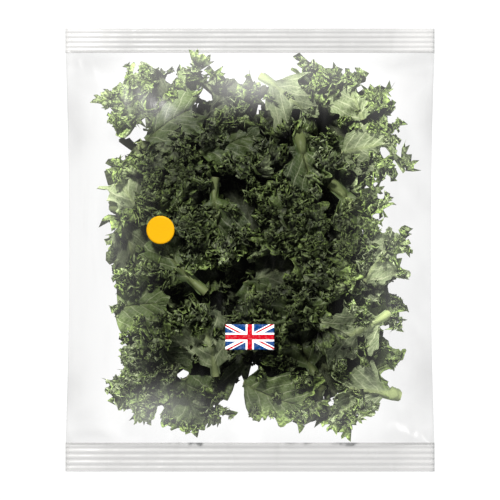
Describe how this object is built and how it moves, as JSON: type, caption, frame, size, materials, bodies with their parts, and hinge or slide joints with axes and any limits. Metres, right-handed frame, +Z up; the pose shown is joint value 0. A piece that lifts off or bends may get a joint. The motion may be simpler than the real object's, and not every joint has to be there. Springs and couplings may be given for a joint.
{
  "type": "bag of curly kale",
  "caption": "Sealed clear film pillow pouch, crimped at both ends and lying on its back, filled with loose cut pieces of curly kale.",
  "frame": {"origin": "on the resting surface, under the middle of the pouch", "axes": "+X across the pouch to the right, +Y along it towards the top seal, +Z up out of its printed front"},
  "size_m": [0.25, 0.3, 0.062],
  "materials": {
    "film": "clear glossy film",
    "kale_top": "dark green waxy leaf, crinkled",
    "kale_under": "paler grey-green underside with thick pale ribs"
  },
  "bodies": {
    "root": {"film_pouch": "film", "kale_leaf_back_01": "kale_top", "kale_leaf_back_02": "kale_top", "kale_leaf_back_03": "kale_under", "kale_leaf_back_04": "kale_under", "kale_leaf_back_05": "kale_under", "kale_leaf_back_06": "kale_top", "kale_leaf_back_07": "kale_under", "kale_leaf_back_08": "kale_under", "kale_leaf_front_01": "kale_under", "kale_leaf_front_02": "kale_top", "kale_leaf_front_03": "kale_under", "kale_leaf_front_04": "kale_top", "kale_leaf_front_05": "kale_under", "kale_leaf_front_06": "kale_top", "kale_leaf_front_07": "kale_top", "kale_leaf_front_08": "kale_top", "kale_leaf_front_09": "kale_top", "kale_leaf_front_10": "kale_top", "kale_leaf_front_11": "kale_under", "kale_leaf_front_12": "kale_top", "kale_leaf_front_13": "kale_top", "kale_leaf_front_14": "kale_under", "kale_leaf_front_15": "kale_top", "kale_leaf_front_16": "kale_under", "kale_leaf_front_17": "kale_top", "kale_leaf_front_18": "kale_top", "kale_leaf_front_19": "kale_under", "kale_leaf_front_20": "kale_top", "kale_leaf_front_21": "kale_top", "kale_leaf_front_22": "kale_under", "kale_leaf_middle_01": "kale_top", "kale_leaf_middle_02": "kale_top", "kale_leaf_middle_03": "kale_under", "kale_leaf_middle_04": "kale_top", "kale_leaf_middle_05": "kale_under", "kale_leaf_middle_06": "kale_under", "kale_leaf_middle_07": "kale_under", "kale_leaf_middle_08": "kale_under", "kale_leaf_middle_09": "kale_under", "kale_leaf_second_01": "kale_under", "kale_leaf_second_02": "kale_under", "kale_leaf_second_03": "kale_top", "kale_leaf_second_04": "kale_top", "kale_leaf_second_05": "kale_under", "kale_leaf_second_06": "kale_top", "kale_leaf_second_07": "kale_top", "kale_leaf_second_08": "kale_top", "kale_leaf_second_09": "kale_under", "kale_leaf_second_10": "kale_top", "kale_leaf_second_11": "kale_under", "kale_leaf_second_12": "kale_top", "kale_leaf_second_13": "kale_top", "kale_leaf_second_14": "kale_top", "kale_leaf_second_15": "kale_top", "kale_leaf_second_16": "kale_under"}
  },
  "joints": []
}
